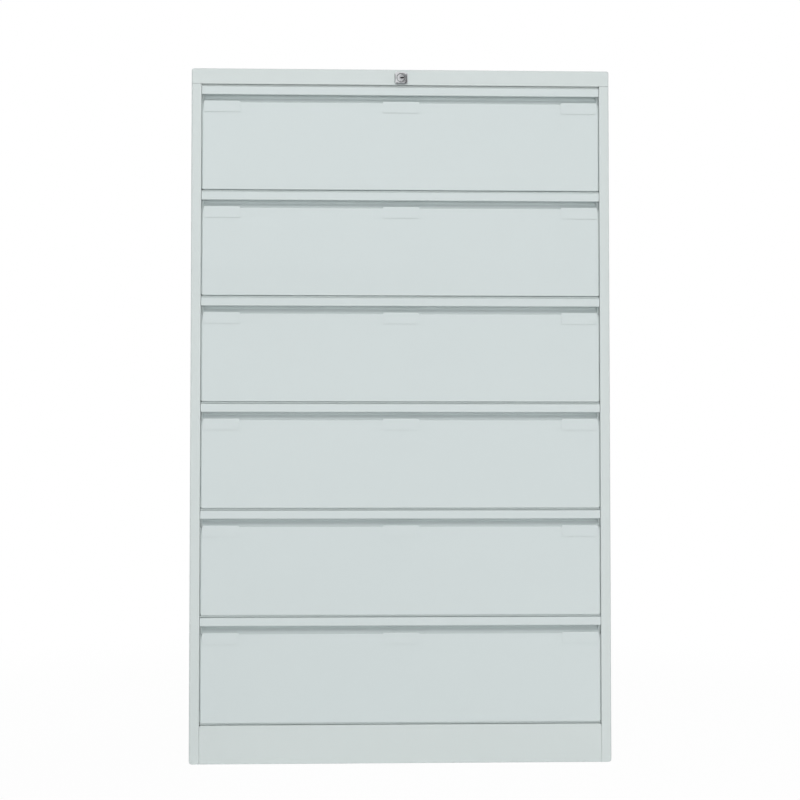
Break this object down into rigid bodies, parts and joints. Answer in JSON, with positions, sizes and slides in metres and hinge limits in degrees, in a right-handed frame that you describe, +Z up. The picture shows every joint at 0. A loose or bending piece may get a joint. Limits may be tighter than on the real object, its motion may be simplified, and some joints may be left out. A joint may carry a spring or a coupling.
{
  "type": "card index cabinet",
  "caption": "Tall steel card index cabinet with full-width pull-out drawers, each split into card tracks, sliding on telescopic runners and secured by one lock.",
  "frame": {"origin": "on the floor under the middle of the whole object's box", "axes": "+Z up, the drawer fronts face -Y and the drawers pull out along -Y, +X to the right seen from the front"},
  "size_m": [0.8, 0.628, 1.321],
  "materials": {
    "carcass_paint": "light grey powder coat, satin",
    "front_paint": "light grey powder coat, satin",
    "tray_paint": "light grey powder coat, satin",
    "runner_zinc": "bright zinc plate",
    "compressor_steel": "bright zinc plate",
    "lock_chrome": "polished chrome"
  },
  "bodies": {
    "carcass": {"top_cap": "carcass_paint", "left_side": "carcass_paint", "right_side": "carcass_paint", "back_panel": "carcass_paint", "base_pan": "carcass_paint", "plinth": "carcass_paint", "left_runner_frame": "runner_zinc", "right_runner_frame": "runner_zinc", "lock_housing": "lock_chrome", "lock_nut": "runner_zinc", "lock_slide_guide": "runner_zinc", "lock_bar_upper_guide": "runner_zinc", "lock_bar_lower_guide": "runner_zinc"},
    "lock_barrel": {"lock_barrel": "lock_chrome", "lock_cam": "runner_zinc"},
    "lock_slide": {"lock_slide": "runner_zinc"},
    "lock_bar": {"lock_bar": "runner_zinc"},
    "drawer_1": {"drawer_1_front": "front_paint", "drawer_1_tray": "tray_paint", "drawer_1_dividers": "tray_paint"},
    "drawer_1_cradle": {"drawer_1_cradle": "runner_zinc"},
    "drawer_1_compressor_left": {"drawer_1_compressor_left": "compressor_steel"},
    "drawer_1_compressor_centre": {"drawer_1_compressor_centre": "compressor_steel"},
    "drawer_1_compressor_right": {"drawer_1_compressor_right": "compressor_steel"},
    "drawer_2": {"drawer_2_front": "front_paint", "drawer_2_tray": "tray_paint", "drawer_2_dividers": "tray_paint"},
    "drawer_2_cradle": {"drawer_2_cradle": "runner_zinc"},
    "drawer_2_compressor_left": {"drawer_2_compressor_left": "compressor_steel"},
    "drawer_2_compressor_centre": {"drawer_2_compressor_centre": "compressor_steel"},
    "drawer_2_compressor_right": {"drawer_2_compressor_right": "compressor_steel"},
    "drawer_3": {"drawer_3_front": "front_paint", "drawer_3_tray": "tray_paint", "drawer_3_dividers": "tray_paint"},
    "drawer_3_cradle": {"drawer_3_cradle": "runner_zinc"},
    "drawer_3_compressor_left": {"drawer_3_compressor_left": "compressor_steel"},
    "drawer_3_compressor_centre": {"drawer_3_compressor_centre": "compressor_steel"},
    "drawer_3_compressor_right": {"drawer_3_compressor_right": "compressor_steel"},
    "drawer_4": {"drawer_4_front": "front_paint", "drawer_4_tray": "tray_paint", "drawer_4_dividers": "tray_paint"},
    "drawer_4_cradle": {"drawer_4_cradle": "runner_zinc"},
    "drawer_4_compressor_left": {"drawer_4_compressor_left": "compressor_steel"},
    "drawer_4_compressor_centre": {"drawer_4_compressor_centre": "compressor_steel"},
    "drawer_4_compressor_right": {"drawer_4_compressor_right": "compressor_steel"},
    "drawer_5": {"drawer_5_front": "front_paint", "drawer_5_tray": "tray_paint", "drawer_5_dividers": "tray_paint"},
    "drawer_5_cradle": {"drawer_5_cradle": "runner_zinc"},
    "drawer_5_compressor_left": {"drawer_5_compressor_left": "compressor_steel"},
    "drawer_5_compressor_centre": {"drawer_5_compressor_centre": "compressor_steel"},
    "drawer_5_compressor_right": {"drawer_5_compressor_right": "compressor_steel"},
    "drawer_6": {"drawer_6_front": "front_paint", "drawer_6_tray": "tray_paint", "drawer_6_dividers": "tray_paint"},
    "drawer_6_cradle": {"drawer_6_cradle": "runner_zinc"},
    "drawer_6_compressor_left": {"drawer_6_compressor_left": "compressor_steel"},
    "drawer_6_compressor_centre": {"drawer_6_compressor_centre": "compressor_steel"},
    "drawer_6_compressor_right": {"drawer_6_compressor_right": "compressor_steel"}
  },
  "joints": [
    {"name": "lock_turn", "type": "hinge", "parent": "carcass", "child": "lock_barrel", "pos_m": [0, -0.308, 1.3039], "axis": [0, 1, 0], "range_deg": [0, 90]},
    {"name": "lock_slide_travel", "type": "slide", "parent": "carcass", "child": "lock_slide", "axis": [-1, 0, 0], "range_m": [0, 0.01]},
    {"name": "lock_bar_travel", "type": "slide", "parent": "carcass", "child": "lock_bar", "axis": [0, 0, -1], "range_m": [0, 0.01]},
    {"name": "drawer_1_travel", "type": "slide", "parent": "carcass", "child": "drawer_1", "axis": [0, -1, 0], "range_m": [0, 0.54]},
    {"name": "drawer_1_cradle_travel", "type": "slide", "parent": "carcass", "child": "drawer_1_cradle", "axis": [0, -1, 0], "range_m": [0, 0.27]},
    {"name": "drawer_1_compressor_left_travel", "type": "slide", "parent": "drawer_1", "child": "drawer_1_compressor_left", "axis": [0, -1, 0], "range_m": [0, 0.43]},
    {"name": "drawer_1_compressor_centre_travel", "type": "slide", "parent": "drawer_1", "child": "drawer_1_compressor_centre", "axis": [0, -1, 0], "range_m": [0, 0.43]},
    {"name": "drawer_1_compressor_right_travel", "type": "slide", "parent": "drawer_1", "child": "drawer_1_compressor_right", "axis": [0, -1, 0], "range_m": [0, 0.43]},
    {"name": "drawer_2_travel", "type": "slide", "parent": "carcass", "child": "drawer_2", "axis": [0, -1, 0], "range_m": [0, 0.54]},
    {"name": "drawer_2_cradle_travel", "type": "slide", "parent": "carcass", "child": "drawer_2_cradle", "axis": [0, -1, 0], "range_m": [0, 0.27]},
    {"name": "drawer_2_compressor_left_travel", "type": "slide", "parent": "drawer_2", "child": "drawer_2_compressor_left", "axis": [0, -1, 0], "range_m": [0, 0.43]},
    {"name": "drawer_2_compressor_centre_travel", "type": "slide", "parent": "drawer_2", "child": "drawer_2_compressor_centre", "axis": [0, -1, 0], "range_m": [0, 0.43]},
    {"name": "drawer_2_compressor_right_travel", "type": "slide", "parent": "drawer_2", "child": "drawer_2_compressor_right", "axis": [0, -1, 0], "range_m": [0, 0.43]},
    {"name": "drawer_3_travel", "type": "slide", "parent": "carcass", "child": "drawer_3", "axis": [0, -1, 0], "range_m": [0, 0.54]},
    {"name": "drawer_3_cradle_travel", "type": "slide", "parent": "carcass", "child": "drawer_3_cradle", "axis": [0, -1, 0], "range_m": [0, 0.27]},
    {"name": "drawer_3_compressor_left_travel", "type": "slide", "parent": "drawer_3", "child": "drawer_3_compressor_left", "axis": [0, -1, 0], "range_m": [0, 0.43]},
    {"name": "drawer_3_compressor_centre_travel", "type": "slide", "parent": "drawer_3", "child": "drawer_3_compressor_centre", "axis": [0, -1, 0], "range_m": [0, 0.43]},
    {"name": "drawer_3_compressor_right_travel", "type": "slide", "parent": "drawer_3", "child": "drawer_3_compressor_right", "axis": [0, -1, 0], "range_m": [0, 0.43]},
    {"name": "drawer_4_travel", "type": "slide", "parent": "carcass", "child": "drawer_4", "axis": [0, -1, 0], "range_m": [0, 0.54]},
    {"name": "drawer_4_cradle_travel", "type": "slide", "parent": "carcass", "child": "drawer_4_cradle", "axis": [0, -1, 0], "range_m": [0, 0.27]},
    {"name": "drawer_4_compressor_left_travel", "type": "slide", "parent": "drawer_4", "child": "drawer_4_compressor_left", "axis": [0, -1, 0], "range_m": [0, 0.43]},
    {"name": "drawer_4_compressor_centre_travel", "type": "slide", "parent": "drawer_4", "child": "drawer_4_compressor_centre", "axis": [0, -1, 0], "range_m": [0, 0.43]},
    {"name": "drawer_4_compressor_right_travel", "type": "slide", "parent": "drawer_4", "child": "drawer_4_compressor_right", "axis": [0, -1, 0], "range_m": [0, 0.43]},
    {"name": "drawer_5_travel", "type": "slide", "parent": "carcass", "child": "drawer_5", "axis": [0, -1, 0], "range_m": [0, 0.54]},
    {"name": "drawer_5_cradle_travel", "type": "slide", "parent": "carcass", "child": "drawer_5_cradle", "axis": [0, -1, 0], "range_m": [0, 0.27]},
    {"name": "drawer_5_compressor_left_travel", "type": "slide", "parent": "drawer_5", "child": "drawer_5_compressor_left", "axis": [0, -1, 0], "range_m": [0, 0.43]},
    {"name": "drawer_5_compressor_centre_travel", "type": "slide", "parent": "drawer_5", "child": "drawer_5_compressor_centre", "axis": [0, -1, 0], "range_m": [0, 0.43]},
    {"name": "drawer_5_compressor_right_travel", "type": "slide", "parent": "drawer_5", "child": "drawer_5_compressor_right", "axis": [0, -1, 0], "range_m": [0, 0.43]},
    {"name": "drawer_6_travel", "type": "slide", "parent": "carcass", "child": "drawer_6", "axis": [0, -1, 0], "range_m": [0, 0.54]},
    {"name": "drawer_6_cradle_travel", "type": "slide", "parent": "carcass", "child": "drawer_6_cradle", "axis": [0, -1, 0], "range_m": [0, 0.27]},
    {"name": "drawer_6_compressor_left_travel", "type": "slide", "parent": "drawer_6", "child": "drawer_6_compressor_left", "axis": [0, -1, 0], "range_m": [0, 0.43]},
    {"name": "drawer_6_compressor_centre_travel", "type": "slide", "parent": "drawer_6", "child": "drawer_6_compressor_centre", "axis": [0, -1, 0], "range_m": [0, 0.43]},
    {"name": "drawer_6_compressor_right_travel", "type": "slide", "parent": "drawer_6", "child": "drawer_6_compressor_right", "axis": [0, -1, 0], "range_m": [0, 0.43]}
  ],
  "couplings": [
    {"joint": "lock_turn", "follows": "lock_bar_travel", "rad_per_m": 157.08},
    {"joint": "lock_slide_travel", "follows": "lock_bar_travel", "ratio": 1},
    {"joint": "drawer_1_cradle_travel", "follows": "drawer_1_travel", "ratio": 0.5},
    {"joint": "drawer_2_cradle_travel", "follows": "drawer_2_travel", "ratio": 0.5},
    {"joint": "drawer_3_cradle_travel", "follows": "drawer_3_travel", "ratio": 0.5},
    {"joint": "drawer_4_cradle_travel", "follows": "drawer_4_travel", "ratio": 0.5},
    {"joint": "drawer_5_cradle_travel", "follows": "drawer_5_travel", "ratio": 0.5},
    {"joint": "drawer_6_cradle_travel", "follows": "drawer_6_travel", "ratio": 0.5}
  ]
}
